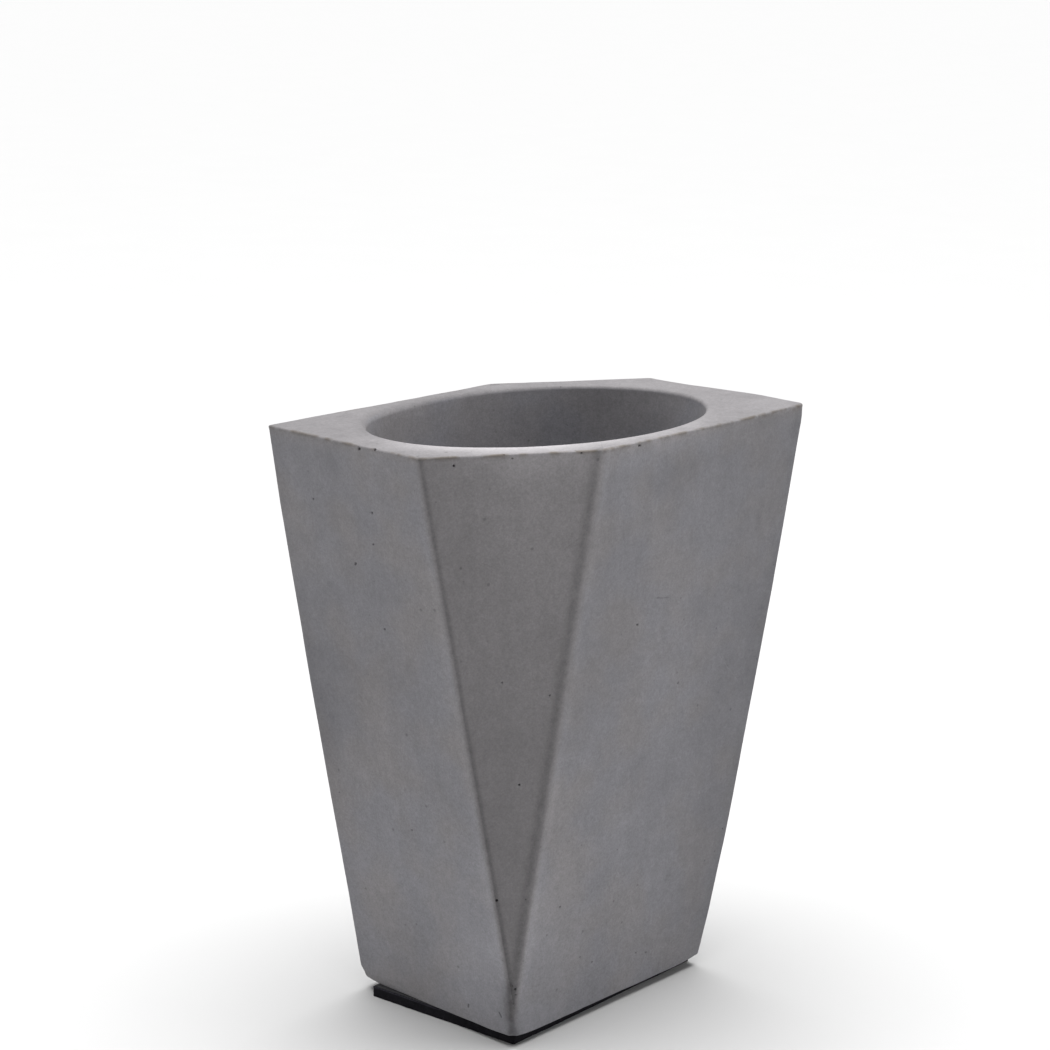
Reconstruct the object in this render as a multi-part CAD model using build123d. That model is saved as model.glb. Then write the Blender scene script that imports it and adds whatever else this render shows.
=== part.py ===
from build123d import *
import os

# A free-standing pen holder cup: one concrete casting on a thin foot pad.
# +X runs along the long side of the base, +Y along its short side, +Z up.
# The origin is on the surface that the cup stands on, under the middle of the cup.

# Overall size of the casting, mm
body_height = 110.0
top_length = 87.0
top_width = 56.0
base_length = 55.0
base_width = 40.0

# Two opposite corners of the top are cut off by sloping facets
cut_along_length = 28.4
cut_along_width = 17.4
facet_foot_share = 0.06       # height of a facet's lowest point, as a share of the body height

# Rounding that the mould leaves on the outside
corner_radius = 1.0
top_edge_radius = 0.4
base_edge_radius = 0.8

# Tapered oval bore, turned towards the two full corners and a little off centre
mouth_long_radius = 35.6
mouth_short_radius = 24.2
floor_long_radius = 23.5
floor_short_radius = 14.8
bore_turn = -8.0
bore_shift_x = -0.35
bore_shift_y = 0.5
floor_thickness = 12.0
mouth_edge_radius = 0.8
floor_edge_radius = 3.0

# Foot pad, cut by hand a little out of square and stuck on a little out of true
pad_corners = [(-28.3, 15.6), (-25.9, -18.9), (27.0, -17.2), (25.2, 17.5)]
pad_thickness = 2.0
pad_corner_radius = 0.5

# Double-sided film between the pad and the casting
adhesive_thickness = 0.2
adhesive_margin = 0.3         # how far the film stops short of the pad's edge

# Heights worked out from the stack
adhesive_bottom = pad_thickness
body_bottom = adhesive_bottom + adhesive_thickness
body_top = body_bottom + body_height
bore_floor = body_bottom + floor_thickness
facet_foot = body_bottom + facet_foot_share * body_height


def level(height):
    """A horizontal plane at the given height."""
    return Plane.XY.offset(height)


def ridge_point(height):
    """The point at this height on the sharp corner between the +X and +Y sides."""
    share = (height - body_bottom) / body_height
    x = base_length / 2 + share * (top_length - base_length) / 2
    y = base_width / 2 + share * (top_width - base_width) / 2
    return Vector(x, y, height)


def tapered_block():
    """The rectangular block that widens from the base to the top."""
    bottom = level(body_bottom) * Rectangle(base_length, base_width)
    top = level(body_top) * Rectangle(top_length, top_width)
    return loft([bottom, top], ruled=True)


def facet_plane():
    """The plane of the facet between the +X and +Y sides, with its normal pointing outwards."""
    corner = ridge_point(body_top)
    on_long_side = corner - Vector(cut_along_length, 0, 0)
    on_short_side = corner - Vector(0, cut_along_width, 0)
    foot = ridge_point(facet_foot)
    outwards = (on_long_side - foot).cross(on_short_side - foot)
    return Plane(origin=foot, x_dir=on_short_side - on_long_side, z_dir=outwards)


def faceted_block():
    """The block with a facet cut on the +X +Y corner and, half a turn away, on the opposite one."""
    block = tapered_block()
    half_turn = Rot(0, 0, 180)
    for _ in range(2):
        block = half_turn * split(block, bisect_by=facet_plane(), keep=Keep.BOTTOM)
    return block


def lies_level_at(edge, height):
    """True for an edge that runs round the block at the given height."""
    box = edge.bounding_box()
    return abs(box.min.Z - height) < 0.01 and abs(box.max.Z - height) < 0.01


def rounded_block():
    """The faceted block with its corners, its top edge and its base edge rounded."""
    block = faceted_block()
    climbing = [edge for edge in block.edges() if edge.bounding_box().size.Z > 1.0]
    block = fillet(climbing, corner_radius)
    top_edges = [edge for edge in block.edges() if lies_level_at(edge, body_top)]
    block = fillet(top_edges, top_edge_radius)
    base_edges = [edge for edge in block.edges() if lies_level_at(edge, body_bottom)]
    return fillet(base_edges, base_edge_radius)


def bore():
    """The tapered oval space that the pens stand in, rounded where it meets its floor."""
    place = Pos(bore_shift_x, bore_shift_y, 0) * Rot(0, 0, bore_turn)
    lower = level(bore_floor) * place * Ellipse(floor_long_radius, floor_short_radius)
    upper = level(body_top) * place * Ellipse(mouth_long_radius, mouth_short_radius)
    space = loft([lower, upper], ruled=True)
    floor_edges = [edge for edge in space.edges() if lies_level_at(edge, bore_floor)]
    return fillet(floor_edges, floor_edge_radius)


def is_mouth_edge(edge):
    """True for an edge of the bore's mouth, which lies inside the rim of the casting."""
    box = edge.bounding_box()
    return lies_level_at(edge, body_top) and box.size.X > mouth_long_radius


def make_cup_body():
    """The concrete casting, with a soft edge round the mouth of its bore."""
    cup = rounded_block() - bore()
    mouth_edges = [edge for edge in cup.edges() if edge.geom_type != GeomType.LINE]
    mouth_edges = [edge for edge in mouth_edges if is_mouth_edge(edge)]
    return fillet(mouth_edges, mouth_edge_radius)


def pad_outline():
    """The outline that the pad is cut to."""
    outline = make_face(Polyline(*pad_corners, close=True))
    return fillet(outline.vertices(), pad_corner_radius)


def make_base_pad():
    """The foam rubber sheet that the cup stands on."""
    return extrude(pad_outline(), pad_thickness)


def make_pad_adhesive():
    """The thin film on the pad's upper face."""
    film = level(adhesive_bottom) * offset(pad_outline(), -adhesive_margin)
    return extrude(film, adhesive_thickness)


parts = {
    "cup_body": make_cup_body(),
    "base_pad": make_base_pad(),
    "pad_adhesive": make_pad_adhesive(),
}

os.makedirs("parts", exist_ok=True)
for name, solid in parts.items():
    export_step(solid, f"parts/{name}.step")
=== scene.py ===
"""Looks of a faceted concrete pen holder cup: one casting on a thin foam foot pad.

The row's frame is kept: +X along the long side of the base, +Y along its short side, +Z up.
Lengths are in mm up to the moment that a mesh is made, and in metres from there on.
"""
import bpy
import bmesh
import math
import random

import numpy as np
from mathutils import Matrix, Vector, noise
from mathutils.bvhtree import BVHTree


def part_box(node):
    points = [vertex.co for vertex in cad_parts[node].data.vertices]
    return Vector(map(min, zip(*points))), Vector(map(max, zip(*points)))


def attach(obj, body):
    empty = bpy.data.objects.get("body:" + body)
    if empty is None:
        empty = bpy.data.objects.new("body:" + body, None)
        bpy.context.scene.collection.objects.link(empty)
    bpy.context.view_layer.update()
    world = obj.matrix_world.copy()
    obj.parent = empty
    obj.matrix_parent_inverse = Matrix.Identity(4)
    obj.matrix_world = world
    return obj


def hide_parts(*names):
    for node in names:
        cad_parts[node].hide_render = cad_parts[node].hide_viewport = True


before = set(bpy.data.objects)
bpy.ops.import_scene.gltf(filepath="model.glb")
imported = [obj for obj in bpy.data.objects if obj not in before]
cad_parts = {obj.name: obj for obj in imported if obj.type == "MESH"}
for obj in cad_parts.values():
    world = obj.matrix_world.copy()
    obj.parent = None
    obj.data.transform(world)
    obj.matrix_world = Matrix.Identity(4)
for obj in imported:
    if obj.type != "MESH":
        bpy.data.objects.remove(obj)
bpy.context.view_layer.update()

MM = 0.001
SEED = 11
random.seed(SEED)

# Heights that the frame gives, mm
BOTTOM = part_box("cup_body")[0].z / MM
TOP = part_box("cup_body")[1].z / MM
HEIGHT = TOP - BOTTOM
PAD_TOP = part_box("base_pad")[1].z / MM

# The casting, mm
TOP_HALF = (43.5, 28.0)          # half length and half width of the top before its corners are cut
BASE_HALF = (27.5, 20.0)
CUT = (28.4, 17.4)               # what a facet takes off the top, along the length and the width
FACET_FOOT = (0.045, 0.09)       # height share at which each of those two cuts runs out
RIDGE_CHAMFER = 0.55             # width of the blunt ridge below a facet
RIDGE_CHAMFER_AT_BASE = 1.3
RIDGE_WIDENS_BELOW = 3.5         # height above the base
RIDGE_REACH = (0.95, 0.7)        # what the ridge takes off each side, as shares of its width
LEAST_EDGE_RADIUS = 0.35         # rounding of a facet's edges at its foot
SHORT_EDGE_RADIUS = 1.7          # rounding of a facet's edge with the short side
LONG_EDGE_RADIUS = 2.4           # rounding of a facet's edge with the long side
FULL_ROUNDING_FROM = 3.2         # size of the cut from which the edges have their full rounding
EDGE_WANDER = 0.16               # how far a facet's edges stray from straight
WANDER_LENGTH = 14.0
LONG_EDGE_WANDER = 1.6           # how much more the edge with the long side strays
LEFT_RADIUS = 0.55               # rounding of the uncut -X +Y corner
LEFT_WORN_BASE = 0.95            # what wear adds to it at the base
LEFT_SWELL = 0.23                # how far it stands out of the straight line from base to top
RIGHT_RADIUS = 0.5               # the same for the uncut +X -Y corner
RIGHT_WORN_BASE = 0.4
RIGHT_WORN_RIM = 0.8
RIGHT_SWELL = 0.30
RIGHT_DRAWN_IN = 0.26            # how far it stands in at the base
TOP_EDGE_RADIUS = 0.35
TOP_EDGE_LIMITS = (0.15, 0.43)   # the least and the greatest that its unevenness may make of it
BASE_EDGE_RADIUS = 0.2
WORN_BASE_CORNERS = [(-27.5, 20.0, 1.05), (-27.5, -20.0, 0.7), (27.5, -20.0, 0.6)]  # x, y, extra radius
WORN_REACH = 3.0
RISES = [(43.5, -28.0, 0.35, 22.0), (43.5, -12.5, 0.36, 17.0)]   # proud rim: x, y, rise and reach
RISE_DEPTH = 14.0                # how far down the wall the rise reaches
SAG = 0.28                       # how far the long side's base edge hangs down beside the pad
SAG_HEIGHT = 6.0                 # how far up the wall it draws
SAG_PAST_Y = -18.9               # only what lies past this, clear of the pad, sags
SAG_BETWEEN_X = (-31.0, 29.0)

# Uneven surfaces: height, size and seed of each layer of noise, mm (for a pit, height is a share)
RAGGED_BASE = [(0.12, 4.0, 5.5)]
RAGGED_TOP = [(0.16, 6.0, 1.5), (0.03, 1.6, 8.5)]
CAST_LUMPS = [(0.07, 17.0, 1.1), (0.03, 6.0, 4.2), (0.010, 1.9, 6.7)]
PAD_OUTLINE_LUMPS = [(0.10, 9.0, 3.3), (0.03, 2.0, 7.3)]
FOAM_LUMPS = [(0.035, 1.1, 2.9), (0.02, 0.5, 5.9)]
PIT_LUMPS = [(0.25, 0.5, 9.1)]

# The bore, mm
MOUTH_HALF = (35.6, 24.2)
FLOOR_HALF = (23.5, 14.8)
BORE_CENTRE = np.array((-0.35, 0.5))
BORE_TURN = math.radians(-8.0)
FLOOR_THICKNESS = 12.0
MOUTH_RADIUS = 0.8
MOUTH_WORN = 0.8                 # how much softer the lip is on its -X +Y part
MOUTH_WORN_AT = (math.radians(130), 0.7)     # where that is: centre and width, as angles of the oval
MOUTH_PUSH = 0.6                 # how far the mouth reaches past its oval there
MOUTH_PUSH_AT = (math.radians(137), 0.32)
FLOOR_RADIUS = 3.0

# The foot pad, mm: it was cut by hand, so it isn't quite square
PAD_CORNERS = [(-29.0, 15.5), (-25.8, -18.7), (27.0, -17.2), (25.2, 17.5)]
FILM_MARGIN = 0.3                # how far the adhesive film stops short of the pad's edge


def smooth(x):
    """A soft step from 0 at x=0 to 1 at x=1."""
    x = min(max(x, 0.0), 1.0)
    return x * x * (3 - 2 * x)


def wave(x, y, z, size, seed=0.0):
    """Smooth noise from -1 to 1 whose lumps are about size across."""
    return noise.noise(Vector((x / size + seed, y / size - seed, z / size + 3.1 * seed)))


def lumps(x, y, z, layers):
    """The sum of layers of noise, each given by its height, size and seed."""
    return sum(height * wave(x, y, z, size, seed) for height, size, seed in layers)


def unit(vector):
    return vector / np.linalg.norm(vector)


# ---------------------------------------------------------------- meshes made of rings


def lifted(flat, z):
    """Flat points with a height, which may differ from point to point."""
    return np.column_stack([flat, np.broadcast_to(z, len(flat))])


def shrunk(ring, share):
    """The ring drawn in about the Z axis to this share of its size."""
    return ring * np.array((share, share, 1.0))


def between(first, last, steps):
    """Rings that lead from one ring to the next, without either of them."""
    return [first + (last - first) * k / steps for k in range(1, steps)]


def ring_mesh(name, rings):
    """A closed mesh through these rings, with a point at each end."""
    count = len(rings[0])
    points = np.concatenate([rings[0].mean(0)[None], *rings, rings[-1].mean(0)[None]])
    last = len(points) - 1
    faces = [(0, 1 + (j + 1) % count, 1 + j) for j in range(count)]
    for i in range(len(rings) - 1):
        a, b = 1 + i * count, 1 + (i + 1) * count
        for j in range(count):
            k = (j + 1) % count
            faces.append((a + j, a + k, b + k, b + j))
    a = 1 + (len(rings) - 1) * count
    faces += [(a + j, a + (j + 1) % count, last) for j in range(count)]
    mesh = bpy.data.meshes.new(name)
    mesh.from_pydata([tuple(p) for p in points], [], faces)
    return mesh


def of_vertices(mesh, what):
    """The places ("co") or the normals of a mesh's vertices."""
    flat = np.empty(len(mesh.vertices) * 3)
    mesh.vertices.foreach_get(what, flat)
    return flat.reshape(-1, 3)


def place_vertices(mesh, points):
    mesh.vertices.foreach_set("co", points.ravel())
    mesh.update()


def move_along_normals(mesh, distance_at):
    """Moves each vertex out by what distance_at says for its place."""
    points, normals = of_vertices(mesh, "co"), of_vertices(mesh, "normal")
    distances = np.array([distance_at(*point) for point in points])
    place_vertices(mesh, points + normals * distances[:, None])


def add_to_scene(mesh, name):
    """A smooth-shaded object of a mesh that is in mm."""
    mesh.transform(Matrix.Scale(MM, 4))
    mesh.shade_smooth()
    piece = bpy.data.objects.new(name, mesh)
    bpy.context.scene.collection.objects.link(piece)
    return piece


# ---------------------------------------------------------------- outline of the casting

SIDES = ("short", "facet", "long")
SIDE_STEPS = {"short": 36, "facet": 34, "long": 54}
CORNER_STEPS = 7
CORNER_PULL = 0.10               # how strongly a side's points gather at its ends
LEAN_SHARPNESS = 8               # how quickly the lean of one side gives way to that of the next


def full_corner_radius(share, half_turn):
    """The rounding of an uncut corner: worn at its ends, crisp between them."""
    if half_turn == 0:
        return LEFT_RADIUS + LEFT_WORN_BASE * (1 - smooth(share / 0.025))
    worn_base = RIGHT_WORN_BASE * (1 - smooth(share * 6))
    return RIGHT_RADIUS + worn_base + RIGHT_WORN_RIM * smooth((share - 0.97) / 0.03)


def full_corner_swell(share, half_turn):
    """How far an uncut corner stands out of the straight line from the base to the top."""
    if half_turn == 0:
        return LEFT_SWELL * smooth((share - 0.15) / 0.35) * smooth((1 - share) / 0.16)
    drawn_in = RIGHT_DRAWN_IN * (1 - smooth(share / 0.1))
    return RIGHT_SWELL * smooth((share - 0.07) / 0.2) * smooth((1 - share) / 0.35) - drawn_in


def corners_at(share):
    """The six corners of the casting at a height share, each with its rounding radius."""
    hx = BASE_HALF[0] + (TOP_HALF[0] - BASE_HALF[0]) * share
    hy = BASE_HALF[1] + (TOP_HALF[1] - BASE_HALF[1]) * share
    z = share * HEIGHT
    widening = 1 - smooth(z / RIDGE_WIDENS_BELOW)
    chamfer = RIDGE_CHAMFER + (RIDGE_CHAMFER_AT_BASE - RIDGE_CHAMFER) * widening
    above = [max(0.0, (share - foot) / (1 - foot)) for foot in FACET_FOOT]
    sides = zip(CUT, above, RIDGE_REACH)
    cuts = [math.hypot(cut * grown, chamfer * reach) for cut, grown, reach in sides]
    out = []
    for half_turn, sign in enumerate((1, -1)):
        stray = [EDGE_WANDER * wave(z, 7 * half_turn, k * 9.0, WANDER_LENGTH, 2.3) for k in range(2)]
        cut_x = cuts[0] + stray[0] * smooth(above[0] * 6) * LONG_EDGE_WANDER
        cut_y = cuts[1] + stray[1] * smooth(above[1] * 6)
        grown = min(1.0, math.hypot(cut_x, cut_y) / FULL_ROUNDING_FROM)
        short_radius = LEAST_EDGE_RADIUS + (SHORT_EDGE_RADIUS - LEAST_EDGE_RADIUS) * grown
        long_radius = LEAST_EDGE_RADIUS + (LONG_EDGE_RADIUS - LEAST_EDGE_RADIUS) * grown
        swell = full_corner_swell(share, half_turn)
        out.append((sign * -(hx + swell), sign * (hy + swell), full_corner_radius(share, half_turn)))
        out.append((sign * -hx, sign * (-hy + cut_y), short_radius))
        out.append((sign * (-hx + cut_x), sign * -hy, long_radius))
    return out


def corner_arcs(corners):
    """For each corner, the centre, radius, first and last angle of its rounding."""
    arcs = []
    for i, (x, y, radius) in enumerate(corners):
        here = np.array((x, y))
        back = unit(np.array(corners[i - 1][:2]) - here)
        ahead = unit(np.array(corners[(i + 1) % len(corners)][:2]) - here)
        half = math.acos(max(-1.0, min(1.0, float(back @ ahead)))) / 2
        centre = here + unit(back + ahead) * radius / math.sin(half)
        tangent = radius / math.tan(half)
        first = here + back * tangent - centre
        last = here + ahead * tangent - centre
        a0 = math.atan2(first[1], first[0])
        a1 = math.atan2(last[1], last[0])
        while a1 < a0:
            a1 += 2 * math.pi
        arcs.append((centre, radius, a0, a1))
    return arcs


def walk_round(corners, corner_steps, shares_along):
    """Points round an outline with rounded corners, and the direction that each faces.

    shares_along(i, length) says where the points lie on the straight side after corner i.
    """
    arcs = corner_arcs(corners)
    points, outwards = [], []
    for i, (centre, radius, a0, a1) in enumerate(arcs):
        for k in range(corner_steps + 1):
            a = a0 + (a1 - a0) * k / corner_steps
            direction = np.array((math.cos(a), math.sin(a)))
            points.append(centre + radius * direction)
            outwards.append(direction)
        next_centre, next_radius, next_a0, _ = arcs[(i + 1) % len(arcs)]
        begin = points[-1]
        finish = next_centre + next_radius * np.array((math.cos(next_a0), math.sin(next_a0)))
        for share in shares_along(i, np.linalg.norm(finish - begin)):
            points.append(begin + (finish - begin) * share)
            outwards.append(direction)
    return np.array(points), np.array(outwards)


def gathered_at_ends(i, length):
    """Shares along a side of the casting that lie closer together at its ends."""
    steps = SIDE_STEPS[SIDES[i % 3]]
    return [k / steps - CORNER_PULL * math.sin(2 * math.pi * k / steps) for k in range(1, steps)]


def outline_at(share):
    """Points round the casting at a height share, and the direction that each faces."""
    return walk_round(corners_at(share), CORNER_STEPS, gathered_at_ends)


def lean_of(direction):
    """How far the outer wall leans out, as an angle, on the side that faces this way."""
    run_x = (TOP_HALF[0] - BASE_HALF[0]) / HEIGHT
    run_y = (TOP_HALF[1] - BASE_HALF[1]) / HEIGHT
    on_x, on_y = (np.abs(direction) ** LEAN_SHARPNESS).T
    return np.arctan(on_x * run_x + on_y * run_y)


# ---------------------------------------------------------------- rings of the casting

UNDERSIDE_STEPS = 6
BASE_EDGE_STEPS = 6
WALL_STEPS = 104
WALL_CROWDING = 0.06             # how strongly the wall's rings gather at mid height
TOP_EDGE_STEPS = 5
RIM_STEPS = 9
MOUTH_STEPS = 8
BORE_STEPS = 44
FLOOR_EDGE_STEPS = 7
FLOOR_STEPS = 7
WALL_STARTS = 2.4                # height above the base of the wall's lowest ring
WALL_STOPS = 0.8                 # how far its highest ring is below the top
INNERMOST = 0.05                 # size of the smallest ring of a flat face, as a share of its edge
UNDER_EDGE = 0.955               # size of the underside's outermost ring, which keeps its edge crisp
EVENING_REACH = 12               # over how many points either way the bore's spacing is evened out


def base_radius(flat):
    """The radius of the base edge at each point round the base."""
    radius = np.full(len(flat), BASE_EDGE_RADIUS)
    for x, y, extra in WORN_BASE_CORNERS:
        distance = np.hypot(flat[:, 0] - x, flat[:, 1] - y)
        radius += extra * np.exp(-(distance / WORN_REACH) ** 2)
    ragged = [lumps(x, y, 0, RAGGED_BASE) for x, y in flat]
    return radius + ragged


def top_radius(flat):
    """The radius of the top edge at each point round the top, uneven as if rubbed down by hand."""
    ragged = [lumps(x, y, 0, RAGGED_TOP) for x, y in flat]
    return np.clip(TOP_EDGE_RADIUS + np.array(ragged), *TOP_EDGE_LIMITS)


def outer_rings():
    """Rings from the base edge, up the outside, and over the top edge."""
    rings = []
    flat, out = outline_at(0.0)
    lean = lean_of(out)
    r = base_radius(flat)
    inset = r * (1 - np.sin(lean)) / np.cos(lean)
    for k in range(BASE_EDGE_STEPS + 1):
        a = -math.pi / 2 + (math.pi / 2 - lean) * k / BASE_EDGE_STEPS
        shift = -inset + r * np.cos(a)
        rings.append(lifted(flat + out * shift[:, None], BOTTOM + r + r * np.sin(a)))
    low = WALL_STARTS / HEIGHT
    high = 1 - WALL_STOPS / HEIGHT
    for k in range(WALL_STEPS + 1):
        t = k / WALL_STEPS
        t += WALL_CROWDING * math.sin(2 * math.pi * t) * t
        share = low + (high - low) * t
        rings.append(lifted(outline_at(share)[0], BOTTOM + share * HEIGHT))
    flat, out = outline_at(1.0)
    lean = lean_of(out)
    r = top_radius(flat)
    inset = r * (1 + np.sin(lean)) / np.cos(lean)
    for k in range(TOP_EDGE_STEPS + 1):
        a = -lean + (math.pi / 2 + lean) * k / TOP_EDGE_STEPS
        shift = -inset + r * np.cos(a)
        rings.append(lifted(flat + out * shift[:, None], TOP - r + r * np.sin(a)))
    return rings


def turned_by(angle):
    """The matrix that turns row vectors by this angle."""
    c, s = math.cos(angle), math.sin(angle)
    return np.array(((c, s), (-s, c)))


def oval(half, around):
    """Points and outward directions of the turned oval with these half sizes."""
    c, s = np.cos(around), np.sin(around)
    flat = np.stack([half[0] * c, half[1] * s], 1)
    normal = np.stack([c / half[0], s / half[1]], 1)
    normal /= np.linalg.norm(normal, axis=1)[:, None]
    turn = turned_by(BORE_TURN)
    return flat @ turn + BORE_CENTRE, normal @ turn


def near_angle(around, centre, width):
    """1 for the points of an oval near this angle, fading to 0 over the width."""
    gap = (around - centre + math.pi) % (2 * math.pi) - math.pi
    return np.exp(-(gap / width) ** 2)


def bore_wall(around, share):
    """Points round the bore's wall at a share of its depth above the floor."""
    half = [floor + (mouth - floor) * share for floor, mouth in zip(FLOOR_HALF, MOUTH_HALF)]
    flat, out = oval(half, around)
    push = MOUTH_PUSH * near_angle(around, *MOUTH_PUSH_AT) * share
    return flat + out * push[:, None]


def bore_rings(around):
    """Rings from the mouth's outer lip, down the bore, to the edge of its floor."""
    rings = []
    floor_z = BOTTOM + FLOOR_THICKNESS
    depth = TOP - floor_z
    lean = math.atan((sum(MOUTH_HALF) - sum(FLOOR_HALF)) / 2 / depth)
    mouth, out = bore_wall(around, 1.0), oval(MOUTH_HALF, around)[1]
    r = MOUTH_RADIUS + MOUTH_WORN * near_angle(around, *MOUTH_WORN_AT)
    centre = mouth + out * (r * (1 - math.sin(lean)) / math.cos(lean))[:, None]
    for k in range(MOUTH_STEPS + 1):
        a = math.pi / 2 + (lean - math.pi / 2) * k / MOUTH_STEPS
        rings.append(lifted(centre - out * (r * math.cos(a))[:, None], TOP - r + r * math.sin(a)))
    top_wall = TOP - r + r * math.sin(lean)
    low_wall = floor_z + FLOOR_RADIUS * (1 - math.sin(lean))
    for k in range(1, BORE_STEPS + 1):
        z = top_wall + (low_wall - top_wall) * k / BORE_STEPS
        rings.append(lifted(bore_wall(around, (z - floor_z) / depth), z))
    flat, out = rings[-1][:, :2], oval(FLOOR_HALF, around)[1]
    centre = flat - out * (FLOOR_RADIUS * math.cos(lean))
    for k in range(1, FLOOR_EDGE_STEPS + 1):
        a = -lean + (lean - math.pi / 2) * k / FLOOR_EDGE_STEPS
        z = floor_z + FLOOR_RADIUS + FLOOR_RADIUS * math.sin(a)
        rings.append(lifted(centre + out * (FLOOR_RADIUS * math.cos(a)), z))
    return rings


def evened(angles):
    """Rising angles round the circle, spread out where they crowd together."""
    count = len(angles)
    one_lap = np.unwrap(angles)
    laps = np.concatenate([one_lap - 2 * math.pi, one_lap, one_lap + 2 * math.pi])
    shifts = range(-EVENING_REACH, EVENING_REACH + 1)
    return np.mean([laps[count + k:2 * count + k] for k in shifts], axis=0)


def casting_rings():
    """All rings of the casting, from the middle of its underside to the middle of its floor."""
    outer = outer_rings()
    top = outer[-1]
    turned = np.arctan2(top[:, 1] - BORE_CENTRE[1], top[:, 0] - BORE_CENTRE[0]) - BORE_TURN
    around = np.arctan2(np.sin(turned) / MOUTH_HALF[1], np.cos(turned) / MOUTH_HALF[0])
    inner = bore_rings(evened(around))
    base_middle = shrunk(outer[0], INNERMOST)
    floor_middle = shrunk(inner[-1], INNERMOST)
    under_edge = shrunk(outer[0], UNDER_EDGE)
    rings = [base_middle] + between(base_middle, under_edge, UNDERSIDE_STEPS) + [under_edge] + outer
    rings += between(top, inner[0], RIM_STEPS) + inner
    return rings + between(inner[-1], floor_middle, FLOOR_STEPS) + [floor_middle]


# ---------------------------------------------------------------- surface of the casting

# Air holes and nicks that can be seen one by one: two ends (x, y, z), radius and depth, mm.
# A round hole has both ends in one place.
PITS = [
    ((-43.4, 0.2, 112.1), (-43.4, 0.2, 112.1), 0.27, 0.6),
    ((-43.3, 4.0, 111.6), (-43.3, 4.2, 111.5), 0.24, 0.3),
    ((-38.3, -14.3, 110.6), (-38.3, -14.3, 110.6), 0.21, 0.5),
    ((-27.6, -20.7, 51.7), (-27.6, -20.7, 51.7), 0.20, 0.4),
    ((-18.5, -25.9, 111.8), (-18.5, -25.9, 111.8), 0.20, 0.3),
    ((-5.4, -28.0, 111.5), (-5.0, -28.0, 111.5), 0.20, 0.3),
    ((-1.7, -25.5, 77.2), (-1.7, -25.5, 77.2), 0.24, 0.3),
    ((3.2, -25.8, 81.4), (6.6, -25.7, 80.8), 0.10, 0.1),
    ((-41.7, 2.5, 100.0), (-41.7, 2.5, 100.0), 0.20, 0.25),
    ((-41.0, 13.4, 95.0), (-41.0, 13.4, 95.0), 0.20, 0.25),
    ((-40.8, 3.0, 94.0), (-40.8, 3.0, 94.0), 0.18, 0.25),
    ((-40.2, 8.2, 89.5), (-40.2, 8.4, 89.2), 0.18, 0.25),
    ((-38.5, 2.5, 78.0), (-38.5, 2.5, 78.0), 0.22, 0.25),
    ((-41.7, 17.6, 100.0), (-41.7, 17.6, 100.0), 0.18, 0.2),
    ((-28.0, -9.0, 5.1), (-28.0, -9.1, 5.7), 0.18, 0.22),
    ((-28.1, -17.5, 5.9), (-28.1, -17.1, 6.7), 0.16, 0.18),
    ((-30.8, -19.4, 71.0), (-30.8, -19.4, 71.0), 0.18, 0.2),
    ((-23.3, -24.1, 68.0), (-23.3, -24.1, 68.0), 0.18, 0.2),
    ((-4.1, -20.2, 4.9), (-4.1, -20.2, 4.9), 0.22, 0.25),
    ((-10.2, -20.8, 13.3), (-10.2, -20.8, 13.3), 0.18, 0.2),
    ((6.5, -20.5, 8.9), (6.5, -20.5, 8.9), 0.20, 0.2),
    ((9.6, -20.4, 8.0), (9.6, -20.4, 8.0), 0.20, 0.2),
    ((-27.8, -20.9, 12.3), (-27.8, -20.9, 12.3), 0.24, 0.3),
    ((-27.6, -21.0, 11.1), (-27.6, -21.0, 11.1), 0.16, 0.2),
    ((-28.4, -20.5, 13.1), (-28.4, -20.5, 13.1), 0.14, 0.2),
    ((-31.0, -18.8, 30.1), (-31.0, -18.8, 30.1), 0.25, 0.45),
    ((-32.3, 8.3, 34.9), (-32.3, 8.3, 34.9), 0.16, 0.2),
    ((-32.8, 1.1, 38.7), (-32.8, 1.1, 38.7), 0.18, 0.2),
    ((-29.7, 5.9, 17.6), (-29.7, 5.9, 17.6), 0.16, 0.2),
    ((-17.1, -21.7, 25.6), (-17.1, -21.7, 25.6), 0.18, 0.25),
    ((-6.5, -20.6, 11.1), (-6.5, -20.6, 11.1), 0.20, 0.2),
    ((-2.2, -20.6, 10.6), (-2.2, -20.6, 10.6), 0.18, 0.2),
    ((11.7, -24.4, 62.9), (11.7, -24.4, 62.9), 0.18, 0.2),
]
# Fine scratches: two ends, half width, and how dark (or, below nothing, how light) they are
SCRATCHES = [
    ((23.1, -24.7, 66.4), (30.3, -24.2, 59.4), 0.12, -0.12),
    ((24.8, -24.7, 65.6), (27.2, -24.4, 62.0), 0.10, -0.08),
    ((-21.0, -24.5, 94.6), (-18.7, -25.8, 96.4), 0.12, 0.12),
    ((-34.0, -17.0, 93.0), (-32.5, -18.0, 92.2), 0.12, 0.08),
]
SCRATCH_DEPTH = 0.03
SCATTERED_PITS = 22
SCATTERED_ABOVE = 4.0            # height above the base
SCATTERED_RADIUS = (0.10, 0.20)
SCATTERED_DEPTH = (0.9, 1.5)     # as shares of the radius
PIT_RIM = 1.3                    # a pit starts this far out, as a share of its radius
PIT_REACH = (0.7, 0.40)          # how far round a pit the mesh is divided, first coarsely and then finely
PIT_CUTS = (3, 2)
PIT_DARK_DEPTH = 0.4             # a pit this deep has full painted shade at its bottom


def surface_at(x, y, z):
    """How far the cast surface stands out of its ideal shape."""
    return lumps(x, y, z, CAST_LUMPS)


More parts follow.
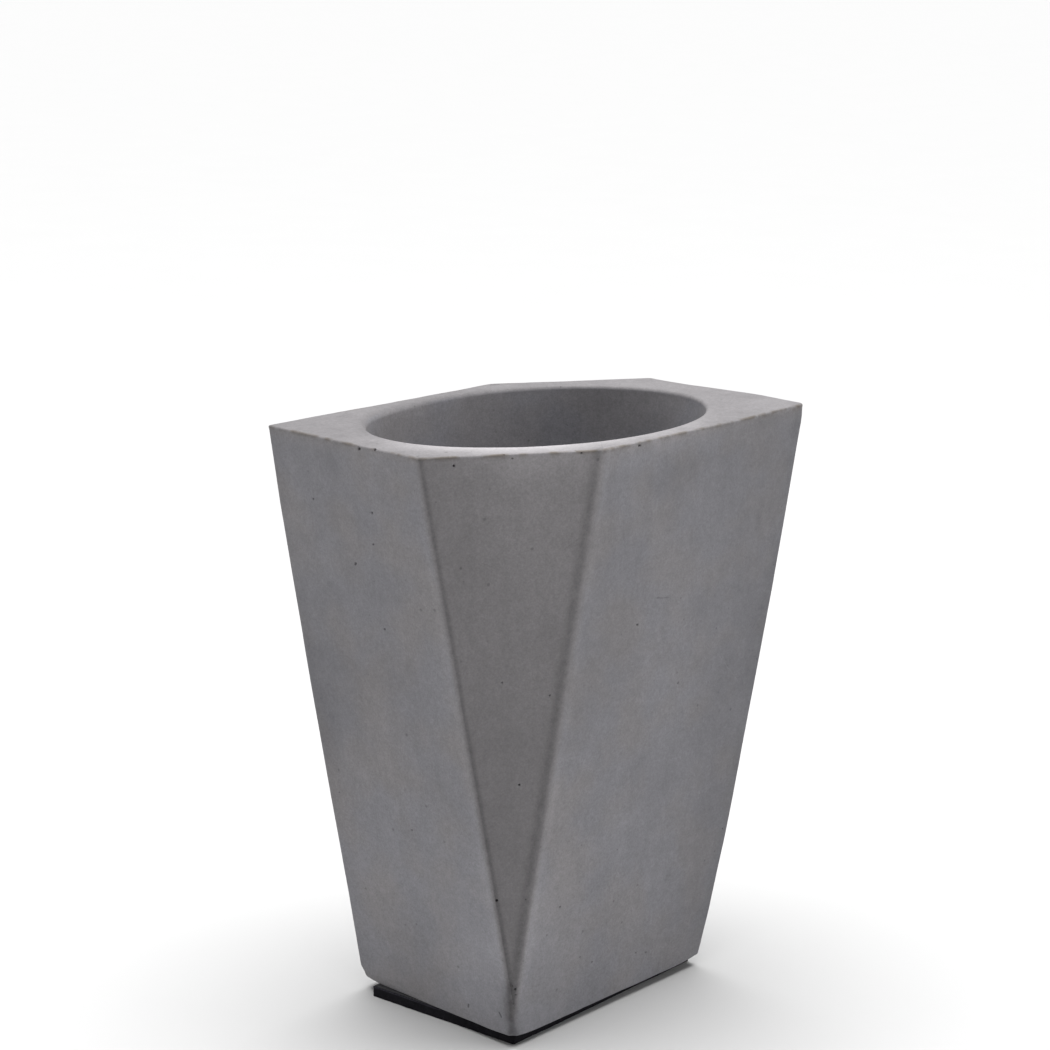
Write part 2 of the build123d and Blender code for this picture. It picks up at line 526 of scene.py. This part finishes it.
def lift_rim(mesh):
    """Lifts the rim where it stands proud."""
    points = of_vertices(mesh, "co")
    for point in points:
        near_top = smooth((point[2] - TOP + RISE_DEPTH) / RISE_DEPTH)
        for x, y, rise, reach in RISES:
            distance = math.hypot(point[0] - x, point[1] - y)
            point[2] += rise * near_top * smooth(1 - distance / reach)
    place_vertices(mesh, points)


def sag_at(x, y):
    """How far the base edge hangs down at a point of the base, only outside the pad."""
    first, last = SAG_BETWEEN_X
    outside_pad = smooth((SAG_PAST_Y - y) / 0.9)
    along = smooth((x - first) / 12) * smooth((last - x) / 10)
    return SAG * outside_pad * along


def lower_base_edge(mesh):
    """Lets the base edge hang down where it overhangs the pad."""
    points = of_vertices(mesh, "co")
    for point in points:
        near_base = smooth((BOTTOM + SAG_HEIGHT - point[2]) / SAG_HEIGHT)
        point[2] -= near_base * sag_at(point[0], point[1])
    place_vertices(mesh, points)


def all_pits(mesh):
    """Every pit and scratch, set onto the mesh: two ends, radius, depth, way in and tone (painted shade for
    a pit, the scratch's own tone for a scratch).
    """
    tree = BVHTree.FromPolygons([v.co for v in mesh.vertices], [p.vertices for p in mesh.polygons])
    marks = [(Vector(a), Vector(b), radius, depth, depth / PIT_DARK_DEPTH) for a, b, radius, depth in PITS]
    marks += [(Vector(a), Vector(b), radius, SCRATCH_DEPTH, tone) for a, b, radius, tone in SCRATCHES]
    places = [v.co.copy() for v in mesh.vertices if v.co.z > BOTTOM + SCATTERED_ABOVE]
    for place in random.sample(places, SCATTERED_PITS):
        radius = random.uniform(*SCATTERED_RADIUS)
        depth = radius * random.uniform(*SCATTERED_DEPTH)
        marks.append((place, place, radius, depth, depth / PIT_DARK_DEPTH))
    placed = []
    for a, b, radius, depth, tone in marks:
        on_a, normal, _, _ = tree.find_nearest(a)
        on_b = tree.find_nearest(b)[0]
        placed.append((np.array(on_a), np.array(on_b), radius, depth, -np.array(normal), min(1.0, tone)))
    return placed


def distance_to_line(points, a, b):
    """The distance of each point from the straight line that ends at a and b."""
    along = b - a
    share = np.clip((points - a) @ along / max(along @ along, 1e-9), 0, 1)
    return np.linalg.norm(points - a - share[:, None] * along, axis=1)


def bmesh_points(bm):
    return np.array([v.co for v in bm.verts])


def dig_pits(mesh):
    """Divides the mesh round each pit, and pushes the pits in."""
    pits = all_pits(mesh)
    bm = bmesh.new()
    bm.from_mesh(mesh)
    for reach, cuts in zip(PIT_REACH, PIT_CUTS):
        points = bmesh_points(bm)
        near = np.zeros(len(points), bool)
        for a, b, *_ in pits:
            near |= distance_to_line(points, a, b) < reach
        bm.verts.index_update()
        faces = [face for face in bm.faces if any(near[v.index] for v in face.verts)]
        edges = list({edge for face in faces for edge in face.edges})
        bmesh.ops.subdivide_edges(bm, edges=edges, cuts=cuts, use_grid_fill=True)
    bm.verts.ensure_lookup_table()
    points = bmesh_points(bm)
    # The painted shade in each pit and each scratch's own tone, kept for the material.
    pit_shade_and_scratch_tone = bm.verts.layers.float.new("pit")
    for a, b, radius, depth, inwards, tone in pits:
        distance = distance_to_line(points, a, b)
        for i in np.nonzero(distance < radius * PIT_RIM)[0]:
            x, y, z = points[i]
            wobble = 1 + lumps(x, y, z, PIT_LUMPS)
            sunk = smooth(PIT_RIM - distance[i] / radius * wobble)
            bm.verts[i].co += Vector(inwards * depth * sunk)
            if abs(sunk * tone) > abs(bm.verts[i][pit_shade_and_scratch_tone]):
                bm.verts[i][pit_shade_and_scratch_tone] = sunk * tone
    bm.to_mesh(mesh)
    bm.free()


# ---------------------------------------------------------------- how near each point is to an edge


def corner_on_ridge(share):
    """The point on the uncut -X -Y corner at a height share."""
    x = BASE_HALF[0] + (TOP_HALF[0] - BASE_HALF[0]) * share
    y = BASE_HALF[1] + (TOP_HALF[1] - BASE_HALF[1]) * share
    return np.array((-x, -y, BOTTOM + share * HEIGHT))


def gap_to_edge(points, a, b, across):
    """The distance from an edge, positive on the side that across points to."""
    along = unit(b - a)
    across = across - (across @ along) * along
    side = np.sign((points - a) @ across)
    return distance_to_line(points, a, b) * np.where(side == 0, 1, side)


def least_of(gaps):
    """For each point, the gap that is nearest to nothing."""
    gaps = np.array(gaps)
    nearest = np.abs(gaps).argmin(0)
    return gaps[nearest, np.arange(gaps.shape[1])]


BORE_SLACK = 1.5                 # how far past its oval the bore's wall may lie
RIM_UNEVENNESS = 0.2             # a point less than this below the top still belongs to the rim


def inside_bore(points):
    """1 for each point on the bore's wall or floor, fading out over its lip."""
    share = np.clip((points[:, 2] - BOTTOM - FLOOR_THICKNESS) / (HEIGHT - FLOOR_THICKNESS), 0, 1)
    half = np.array(FLOOR_HALF) + share[:, None] * (np.array(MOUTH_HALF) - FLOOR_HALF)
    straight = (points[:, :2] - BORE_CENTRE) @ turned_by(-BORE_TURN)
    above_floor = points[:, 2] > BOTTOM + FLOOR_THICKNESS - 1
    within = np.hypot(*(straight / (half + BORE_SLACK)).T) < 1
    below_top = TOP - RIM_UNEVENNESS - points[:, 2]
    return above_floor * within * np.clip(below_top / MOUTH_RADIUS, 0, 1)


def mark_edges(mesh):
    """Stores how far each vertex is from the edges that wear, catch dirt and carry painted light and shade,
    in mm.
    """
    points = of_vertices(mesh, "co")
    turned = points * np.array((-1, -1, 1))
    ridge_top, ridge_base = corner_on_ridge(1), corner_on_ridge(0)
    long_foot, short_foot = [corner_on_ridge(foot) for foot in FACET_FOOT]
    short_top = ridge_top + np.array((0, CUT[1], 0))
    long_top = ridge_top + np.array((CUT[0], 0, 0))
    left_top, left_base = ridge_top * np.array((1, -1, 1)), ridge_base * np.array((1, -1, 1))
    right_top, right_base = ridge_top * np.array((-1, 1, 1)), ridge_base * np.array((-1, 1, 1))
    into_facet = np.array((1.0, -1.0, 0.0))
    both = (points, turned)
    marks = {
        "short_edge": least_of([gap_to_edge(p, short_top, short_foot, into_facet) for p in both]),
        "long_edge": least_of([gap_to_edge(p, long_top, long_foot, -into_facet) for p in both]),
        "ridge": np.min([distance_to_line(p, short_foot, ridge_base) for p in both], 0),
        "corner": np.min([distance_to_line(points, left_top, left_base),
                          distance_to_line(points, right_top, right_base)], 0),
    }
    corners = [left_top, short_top, long_top, right_top]
    corners += [c * np.array((-1, -1, 1)) for c in corners[1:3]]
    rim = zip(corners, corners[1:] + corners[:1])
    marks["rim"] = np.min([distance_to_line(points, a, b) for a, b in rim], 0)
    mouth = lifted(oval([h + MOUTH_RADIUS for h in MOUTH_HALF], np.linspace(0, 2 * math.pi, 73))[0], TOP)
    marks["lip"] = np.min([distance_to_line(points, a, b) for a, b in zip(mouth, mouth[1:])], 0)
    marks["bore"] = inside_bore(points)
    for name, values in marks.items():
        layer = mesh.attributes.new(name, "FLOAT", "POINT")
        layer.data.foreach_set("value", values)


def make_cup():
    mesh = ring_mesh("cup", casting_rings())
    move_along_normals(mesh, surface_at)
    lift_rim(mesh)
    lower_base_edge(mesh)
    dig_pits(mesh)
    mark_edges(mesh)
    return add_to_scene(mesh, "cup")


# ---------------------------------------------------------------- foot pad and its film

PAD_CORNER_RADIUS = 0.4
PAD_CORNER_STEPS = 5
PAD_STEP = 0.55                  # spacing of the points round the pad
SLAB_EDGE_STEPS = 4
SLAB_UNDER_STEPS = 24
SLAB_OVER_STEPS = 12
SLAB_INNERMOST = 0.04


def evenly_spaced(i, length):
    """Shares along a side of the pad that lie PAD_STEP apart."""
    steps = int(length / PAD_STEP)
    return [k / steps for k in range(1, steps)]


def pad_outline(inset):
    """Points round the hand-cut pad, inset from its edge, and the direction that each faces."""
    corners = [(x, y, PAD_CORNER_RADIUS) for x, y in PAD_CORNERS]
    points, outwards = walk_round(corners, PAD_CORNER_STEPS, evenly_spaced)
    wander = np.array([lumps(x, y, 0, PAD_OUTLINE_LUMPS) for x, y in points])
    return points + outwards * (wander - inset)[:, None], outwards


def slab_rings(inset, low, high, edge_radius, side_steps, bulge):
    """Rings of a flat slab with softened edges, whose side bulges or, below nothing, caves in."""
    flat, out = pad_outline(inset)
    side = []
    for k in range(SLAB_EDGE_STEPS + 1):
        a = -math.pi / 2 + math.pi / 2 * k / SLAB_EDGE_STEPS
        side.append((edge_radius * (math.cos(a) - 1), low + edge_radius * (1 + math.sin(a))))
    for k in range(1, side_steps):
        t = k / side_steps
        z = low + edge_radius + (high - low - 2 * edge_radius) * t
        side.append((bulge * math.sin(math.pi * t), z))
    side += [(shift, low + high - z) for shift, z in reversed(side[:SLAB_EDGE_STEPS + 1])]
    walls = [lifted(flat + out * shift, z) for shift, z in side]
    under_middle = shrunk(walls[0], SLAB_INNERMOST)
    over_middle = shrunk(walls[-1], SLAB_INNERMOST)
    rings = [under_middle] + between(under_middle, walls[0], SLAB_UNDER_STEPS) + walls
    return rings + between(walls[-1], over_middle, SLAB_OVER_STEPS) + [over_middle]


def foam_at(x, y, z):
    """How far the cut foam stands out of a smooth sheet."""
    return lumps(x, y, z, FOAM_LUMPS)


def make_pad():
    rings = slab_rings(inset=0.0, low=0.04, high=PAD_TOP - 0.02, edge_radius=0.12, side_steps=7, bulge=-0.05)
    mesh = ring_mesh("foot_pad", rings)
    move_along_normals(mesh, foam_at)
    return add_to_scene(mesh, "foot_pad")


def make_film():
    rings = slab_rings(FILM_MARGIN, low=PAD_TOP, high=BOTTOM, edge_radius=0.05, side_steps=2, bulge=0.0)
    return add_to_scene(ring_mesh("pad_film", rings), "pad_film")


# ---------------------------------------------------------------- material building blocks


class Graph:
    """A material's nodes, in calls that read like a formula."""

    def __init__(self, name):
        self.material = bpy.data.materials.new(name)
        self.material.use_nodes = True
        self.tree = self.material.node_tree
        self.shader = self.tree.nodes["Principled BSDF"]
        self.place = self.add("TexCoord").outputs["Object"]

    def add(self, kind, inputs=(), **settings):
        """A new node with these settings, and with values or sockets at these inputs."""
        made = self.tree.nodes.new("ShaderNode" + kind)
        for name, value in settings.items():
            setattr(made, name, value)
        for key, value in dict(inputs).items():
            if isinstance(value, bpy.types.NodeSocket):
                self.tree.links.new(value, made.inputs[key])
            else:
                made.inputs[key].default_value = value
        return made

    def math(self, operation, *values):
        return self.add("Math", enumerate(values), operation=operation).outputs[0]

    def attribute(self, name):
        return self.add("Attribute", attribute_name=name).outputs["Fac"]

    def stretched(self, x, y, z):
        """The place in mm, with each axis drawn out by its factor."""
        scale = (1 / MM / x, 1 / MM / y, 1 / MM / z)
        return self.add("Mapping", {"Vector": self.place, "Scale": scale}).outputs[0]

    def noise(self, size, detail=2.0, vector=None, roughness=0.5):
        """Noise from about 0 to 1 whose lumps are about size mm across."""
        vector = vector or self.stretched(1, 1, 1)
        inputs = {"Vector": vector, "Scale": 1 / size, "Detail": detail, "Roughness": roughness}
        return self.add("TexNoise", inputs, noise_dimensions="3D").outputs["Fac"]

    def ramp(self, value, low, high, to_low=0.0, to_high=1.0):
        """The value, stretched so that low to high becomes to_low to to_high, smooth at both ends."""
        inputs = {"Value": value, "From Min": low, "From Max": high, "To Min": to_low, "To Max": to_high}
        return self.add("MapRange", inputs, interpolation_type="SMOOTHSTEP").outputs["Result"]

    def bell(self, value, centre, width):
        """1 where the value is at the centre, fading to 0 over the width."""
        share = self.math("DIVIDE", self.math("SUBTRACT", value, centre), width)
        return self.math("EXPONENT", self.math("MULTIPLY", self.math("MULTIPLY", share, share), -1.0))

    def specks(self, spacing, radius, share):
        """1 inside small round spots that lie at random, one in each share of the cells."""
        inputs = {"Vector": self.stretched(1, 1, 1), "Scale": 1 / spacing}
        cells = self.add("TexVoronoi", inputs)
        lot = self.add("SeparateColor", {"Color": cells.outputs["Color"]})
        reach = self.math("MULTIPLY", radius / spacing, self.math("ADD", 0.5, lot.outputs["Green"]))
        spot = self.math("SUBTRACT", 1.0, self.math("DIVIDE", cells.outputs["Distance"], reach))
        chosen = self.math("LESS_THAN", lot.outputs["Red"], share)
        return self.math("MULTIPLY", self.ramp(spot, 0.0, 0.6), chosen)

    def product(self, values):
        total = values[0]
        for value in values[1:]:
            total = self.math("MULTIPLY", total, value)
        return total

    def less(self, amount, mask):
        """A factor that takes this amount off where the mask is 1."""
        return self.math("SUBTRACT", 1.0, self.math("MULTIPLY", mask, amount))

    def about_one(self, value, amount):
        """A factor near 1 that follows a noise, by this amount either way."""
        return self.math("ADD", 1.0 - amount, self.math("MULTIPLY", value, 2 * amount))

    def tinted(self, low_color, high_color, factor):
        """A colour between these two, the low one where the factor is 0."""
        if not isinstance(low_color, bpy.types.NodeSocket):
            low_color = (*low_color, 1)
        inputs = {"Fac": factor, "Color1": low_color, "Color2": (*high_color, 1)}
        return self.add("MixRGB", inputs).outputs["Color"]

    def shaded(self, color, factor):
        """A colour times a number."""
        return self.add("VectorMath", {0: color, "Scale": factor}, operation="SCALE").outputs[0]

    def bump(self, height, depth, below=None):
        """A bump of this depth in mm, laid on the one below it."""
        inputs = {"Height": height, "Distance": depth * MM, "Strength": 1.0}
        if below is not None:
            inputs["Normal"] = below
        return self.add("Bump", inputs).outputs["Normal"]

    def connect(self, **inputs):
        for name, socket in inputs.items():
            self.tree.links.new(socket, self.shader.inputs[name.replace("_", " ")])

    def set(self, **inputs):
        for name, value in inputs.items():
            self.shader.inputs[name.replace("_", " ")].default_value = value


# ---------------------------------------------------------------- concrete

COOL_GREY = (0.182, 0.180, 0.194)
WARM_GREY = (0.188, 0.1805, 0.186)
DIRT_BROWN = (0.100, 0.084, 0.068)
# Clouds and sand in the tone of the surface: size in mm, detail, and amount either way
CLOUDS = [
    (26, 1.0, 0.06),
    (9, 2.0, 0.09),
    (3.5, 2.0, 0.07),
    (1.6, 3.0, 0.07),
    (0.75, 2.0, 0.16),
    (0.32, 1.0, 0.20),
]
# Soft patches that are darker or, below nothing, lighter: place and reach in mm, and amount
PATCHES = [
    ((-36, 22, 60), (9, 8, 20), 0.16),
    ((-38, -10.7, 72), (6, 4, 14), -0.09),
    ((-27, -17, 34), (8, 8, 7), -0.12),
    ((-21, -21, 12), (6, 6, 9), 0.17),
    ((7.5, -28, 106), (7, 9, 4.5), 0.17),
    ((9, -25, 68), (10, 9, 14), -0.08),
    ((27, -21, 17), (9, 9, 14), 0.12),
]


class Marks:
    """Where a point of the casting lies, as sockets that its tone can follow."""

    def __init__(self, g):
        place = g.add("SeparateXYZ", {"Vector": g.stretched(1, 1, 1)})
        self.x, self.y, self.z = [place.outputs[axis] for axis in "XYZ"]
        self.short = g.attribute("short_edge")
        self.long = g.attribute("long_edge")
        self.rim = g.attribute("rim")
        self.ridge = g.attribute("ridge")
        self.bore = g.attribute("bore")
        outside = g.math("SUBTRACT", 1.0, self.bore)
        self.facet = g.product([outside, g.ramp(self.short, -1.2, 0.4), g.ramp(self.long, -1.2, 0.4)])
        self.wall = g.math("SUBTRACT", 1.0, self.facet)
        self.top = g.ramp(self.z, TOP - 0.8, TOP - 0.2)
        self.ragged = g.about_one(g.noise(1.1, 3.0), 0.6)
        # The walls beside the ridge low down, which get painted light and a cooler grey.
        self.beside_ridge = g.math("MULTIPLY", g.bell(self.ridge, 9.0, 8.0), self.wall)


def mottling(g):
    """Factors for the clouds, sand, streaks and dark specks of the cast surface."""
    streaks = g.noise(2.2, 2.0, vector=g.stretched(1, 1, 9))
    clouds = [g.about_one(g.noise(size, detail), amount) for size, detail, amount in CLOUDS]
    return clouds + [g.about_one(streaks, 0.05), g.less(0.30, g.specks(3.4, 0.30, 0.5))]


def edge_wear_and_painted_light(g, at):
    """Factors for the lines of dirt along the edges, the rubbed strips beside them, painted shade along the
    uncut corners, a painted highlight along the front of the mouth's lip and a darker band along its back.
    """
    at_back = g.ramp(at.y, -13, 0)
    highlight_at_front = g.product([g.ramp(at.y, 12, -10), g.ramp(at.x, 34, 8), g.ramp(at.x, 20, -40, 0.45, 1.0)])
    lip = g.attribute("lip")
    under_rim = g.math("MULTIPLY", g.bell(at.rim, 3.0, 3.5), g.ramp(g.noise(7, 3.0), 0.50, 0.68))
    return [
        g.less(0.22, g.math("MULTIPLY", g.bell(at.short, 0.3, 0.5), at.ragged)),
        g.less(-0.07, g.bell(at.short, -1.7, 0.9)),
        g.less(0.24, g.math("MULTIPLY", g.bell(at.long, 1.0, 1.0), at.ragged)),
        g.less(-0.08, g.bell(at.long, -1.9, 0.9)),
        g.less(0.36, g.math("MULTIPLY", g.bell(at.ridge, 0.2, 1.5), at.ragged)),
        g.less(0.12, under_rim),
        # Painted shade: darker along the uncut corners, where the light falls off.
        g.less(0.08, g.bell(g.attribute("corner"), 0.0, 3.0)),
        # Painted highlight along the front of the mouth's lip, where its rounded edge catches the light.
        g.less(-0.78, g.math("MULTIPLY", g.bell(lip, 0.0, 4.5), highlight_at_front)),
        g.less(-0.12, g.math("MULTIPLY", g.bell(lip, 0.0, 1.0), highlight_at_front)),
        g.less(0.08, g.math("MULTIPLY", g.bell(lip, 0.0, 1.5), at_back)),
    ]


def patch(g, at, place, reach):
    """1 at this place, fading to 0 over the reach along each axis."""
    return g.product([g.bell(*axis) for axis in zip((at.x, at.y, at.z), place, reach)])


def broad_tone_and_painted_light(g, at):
    """Factors for the parts of the casting that are lighter or darker than the rest: painted light and
    painted shade that follow how the light falls, in the bore and in the pits too, and patches of tone.
    """
    low = g.math("MULTIPLY", g.ramp(at.z, 75, 25), at.wall)
    low_left = g.math("MULTIPLY", low, g.ramp(at.x, 25, -28))
    low_middle = g.math("MULTIPLY", g.ramp(at.z, 18, 5), g.bell(at.x, -14, 10))
    right_middle = g.math("MULTIPLY", g.bell(at.z, 55, 28), g.ramp(at.x, 5, 25))
    facet_corner = g.product([at.facet, g.bell(at.x, -24, 7), g.ramp(at.z, 78, 105)])
    facet_tone = g.ramp(at.z, 20, 105, 0.10, -0.04)
    return [
        # Painted shade: darker towards the +X end, where the light falls off.
        g.less(0.08, g.ramp(at.x, 8, 34)),
        # Painted light: the walls lighter low down, more so towards -X and beside the ridge, lifting the
        # shade near the floor.
        g.less(-0.07, low),
        g.less(-0.12, low_left),
        g.less(-0.20, at.beside_ridge),
        # Painted shade: darker at the foot of the wall round x = -14, next to the pad.
        g.less(0.10, low_middle),
        g.less(0.08, right_middle),
        g.less(-0.12, facet_corner),
        g.less(0.05, g.math("MULTIPLY", at.facet, g.bell(at.x, -37, 7))),
        # Painted light: the top lighter towards its +X end.
        g.less(-0.20, g.math("MULTIPLY", at.top, g.ramp(at.x, 18, 36))),
        # Painted shade: the facet darker towards its foot, and a little lighter near the top.
        g.less(1.0, g.math("MULTIPLY", at.facet, facet_tone)),
        # Painted light: the bore's wall and floor lighter, standing in for light that reaches into it.
        g.less(-0.42, at.bore),
        # Painted shade in the pits, and the scratches' own tone.
        g.less(0.85, g.attribute("pit")),
    ] + [g.less(amount, patch(g, at, place, reach)) for place, reach, amount in PATCHES]


def concrete_color(g, at):
    """Bluish grey in clouds on the walls, brownish grey on the facets and edges, dirt under the rim."""
    clouds = g.ramp(g.noise(13, 2.0), 0.35, 0.65)
    warmth = g.math("SUBTRACT", clouds, g.ramp(at.x, -20, 25, 0.0, 0.35))
    warmth = g.math("SUBTRACT", warmth, g.math("MULTIPLY", at.beside_ridge, 0.7))
    edges = [g.bell(at.rim, 0.0, 2.0), g.bell(at.short, 0.0, 1.2), g.bell(at.long, 0.0, 1.5)]
    for warm in [at.facet, at.top] + edges:
        warmth = g.math("MAXIMUM", warmth, warm)
    broken = g.ramp(g.noise(4.0, 3.0), 0.42, 0.60)
    dirt = g.math("MULTIPLY", g.bell(at.rim, 0.1, 0.45), broken)
    return g.tinted(g.tinted(COOL_GREY, WARM_GREY, warmth), DIRT_BROWN, g.math("MULTIPLY", dirt, 0.8))


def make_concrete():
    g = Graph("concrete")
    at = Marks(g)
    tone = g.product(mottling(g) + edge_wear_and_painted_light(g, at) + broad_tone_and_painted_light(g, at))
    grain = g.noise(0.45, 3.0, roughness=0.6)
    pores = g.specks(1.7, 0.16, 0.35)
    height = g.math("SUBTRACT", g.math("MULTIPLY", grain, 0.35), pores)
    swell = g.bump(g.noise(4.5, 2.0), 0.10)
    g.connect(
        Base_Color=g.shaded(concrete_color(g, at), tone),
        Roughness=g.ramp(g.noise(3.0, 3.0), 0.3, 0.7, 0.74, 0.90),
        Normal=g.bump(height, 0.035, below=swell),
    )
    g.set(Specular_IOR_Level=0.35)
    return g.material


# ---------------------------------------------------------------- foam rubber and film

FOAM_BLACKS = ((0.007, 0.0065, 0.009), (0.010, 0.0095, 0.012))
FOAM_CELL = 0.35                 # size of the foam's cells, mm
PAD_TOP_HIGHLIGHT = 3.0                       # how much lighter the foam is painted along its top, a painted highlight where its edge catches the light
FILM_GREYS = ((0.020, 0.020, 0.022), (0.034, 0.034, 0.037))


def make_foam():
    g = Graph("foam_rubber")
    inputs = {"Vector": g.stretched(1, 1, 1), "Scale": 1 / FOAM_CELL}
    cells = g.add("TexVoronoi", inputs).outputs["Distance"]
    height = g.add("SeparateXYZ", {"Vector": g.stretched(1, 1, 1)}).outputs["Z"]
    # Painted highlight: the foam lighter along its top, where its edge catches the light.
    highlight_on_pad_top = g.ramp(height, PAD_TOP - 0.3, PAD_TOP, 1.0, PAD_TOP_HIGHLIGHT)
    tone = g.product([g.about_one(g.noise(2.5, 3.0), 0.35), g.about_one(cells, 0.25), highlight_on_pad_top])
    g.connect(
        Base_Color=g.shaded(g.tinted(*FOAM_BLACKS, g.noise(6, 2.0)), tone),
        Roughness=g.ramp(g.noise(1.2, 2.0), 0.3, 0.7, 0.72, 0.92),
        Normal=g.bump(cells, 0.06, below=g.bump(g.noise(0.8, 3.0), 0.08)),
    )
    g.set(Specular_IOR_Level=0.1)
    return g.material


def make_film_material():
    g = Graph("adhesive_film")
    g.connect(
        Base_Color=g.tinted(*FILM_GREYS, g.noise(3.0, 3.0)),
        Roughness=g.ramp(g.noise(1.5, 2.0), 0.3, 0.7, 0.35, 0.55),
        Normal=g.bump(g.noise(1.2, 3.0, vector=g.stretched(4, 1, 1)), 0.02),
    )
    g.set(Specular_IOR_Level=0.4)
    return g.material


# ---------------------------------------------------------------- the pieces

cup = make_cup()
cup.data.materials.append(make_concrete())
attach(cup, "root")
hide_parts("cup_body")

pad = make_pad()
pad.data.materials.append(make_foam())
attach(pad, "root")
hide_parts("base_pad")

film = make_film()
film.data.materials.append(make_film_material())
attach(film, "root")
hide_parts("pad_adhesive")


# ---------------------------------------------------------------- stage, camera and light

FLOOR_SIZE = 30.0
FLOOR_ALBEDO = (0.52, 0.52, 0.52)

# The camera, in mm and degrees
AIM = Vector((-2.19, 2.19, 91.07)) * MM
AZIMUTH = math.radians(-47.45)
ELEVATION = math.radians(13.89)
DISTANCE = 488.2 * MM
ROLL = math.radians(0.89)
LENS = 89.1

SKY_GLOW = 0.15                  # light from all round
SKY_SEEN = 1.0                   # what the camera sees past the floor
OVERHEAD = 5.6                   # the wide soft light above, in watts per square metre
OVERHEAD_ANGLE = math.radians(60.0)
OVERHEAD_TILT = math.radians(8.0)
SOFTBOX_SIZE = (0.5, 0.6)
SOFTBOX_DISTANCE = 0.8
SOFTBOX_HEIGHT = Vector((0, 0, 0.12))
LEFT_POWER = 2.7                 # watts
RIGHT_POWER = 3.3
LIGHTS_AIM = Vector((0, 0, 0.06))
TO_LEFT = Vector((-0.679, 0.734, 0.0))
TO_FRONT = Vector((-0.736, -0.677, 0.0))


def make_floor():
    half = FLOOR_SIZE / 2
    mesh = bpy.data.meshes.new("floor")
    corners = [(-half, -half, 0), (half, -half, 0), (half, half, 0), (-half, half, 0)]
    mesh.from_pydata(corners, [], [(0, 1, 2, 3)])
    floor = bpy.data.objects.new("floor", mesh)
    bpy.context.scene.collection.objects.link(floor)
    g = Graph("floor_paper")
    tone = g.about_one(g.noise(40, 2.0), 0.01)
    g.connect(Base_Color=g.shaded(g.tinted(FLOOR_ALBEDO, FLOOR_ALBEDO, tone), tone))
    g.set(Roughness=0.8, Specular_IOR_Level=0.2)
    mesh.materials.append(g.material)


def make_camera():
    data = bpy.data.cameras.new("camera")
    data.lens = LENS
    data.sensor_width = 36.0
    data.clip_start = 0.01
    camera = bpy.data.objects.new("camera", data)
    bpy.context.scene.collection.objects.link(camera)
    level = math.cos(ELEVATION)
    forward = Vector((-math.sin(AZIMUTH) * level, math.cos(AZIMUTH) * level, -math.sin(ELEVATION)))
    camera.location = AIM - forward * DISTANCE
    turn = forward.to_track_quat("-Z", "Y").to_matrix() @ Matrix.Rotation(ROLL, 3, "Z")
    camera.rotation_euler = turn.to_euler()
    bpy.context.scene.camera = camera


def add_light(name, kind, place, energy):
    data = bpy.data.lights.new(name, kind)
    data.energy = energy
    light = bpy.data.objects.new(name, data)
    bpy.context.scene.collection.objects.link(light)
    light.location = place
    light.rotation_euler = (LIGHTS_AIM - place).to_track_quat("-Z", "Y").to_euler()
    return data


def add_softbox(name, direction, energy):
    data = add_light(name, "AREA", direction * SOFTBOX_DISTANCE + SOFTBOX_HEIGHT, energy)
    data.shape = "RECTANGLE"
    data.size, data.size_y = SOFTBOX_SIZE


def make_lights():
    above = Vector((0, 0, 1.0)) - TO_FRONT * math.tan(OVERHEAD_TILT)
    add_light("overhead", "SUN", above, OVERHEAD).angle = OVERHEAD_ANGLE
    add_softbox("left", TO_LEFT, LEFT_POWER)
    add_softbox("right", -TO_LEFT, RIGHT_POWER)


def make_world():
    """An even glow from all round, which the camera sees as a white backdrop."""
    world = bpy.data.worlds.new("world")
    bpy.context.scene.world = world
    world.use_nodes = True
    nodes, links = world.node_tree.nodes, world.node_tree.links
    path = nodes.new("ShaderNodeLightPath")
    seen = nodes.new("ShaderNodeMapRange")
    seen.inputs["To Min"].default_value = SKY_GLOW
    seen.inputs["To Max"].default_value = SKY_SEEN
    links.new(path.outputs["Is Camera Ray"], seen.inputs["Value"])
    background = nodes["Background"]
    background.inputs["Color"].default_value = (1, 1, 1, 1)
    links.new(seen.outputs["Result"], background.inputs["Strength"])


make_floor()
make_camera()
make_lights()
make_world()
bpy.context.scene.view_settings.view_transform = "Standard"
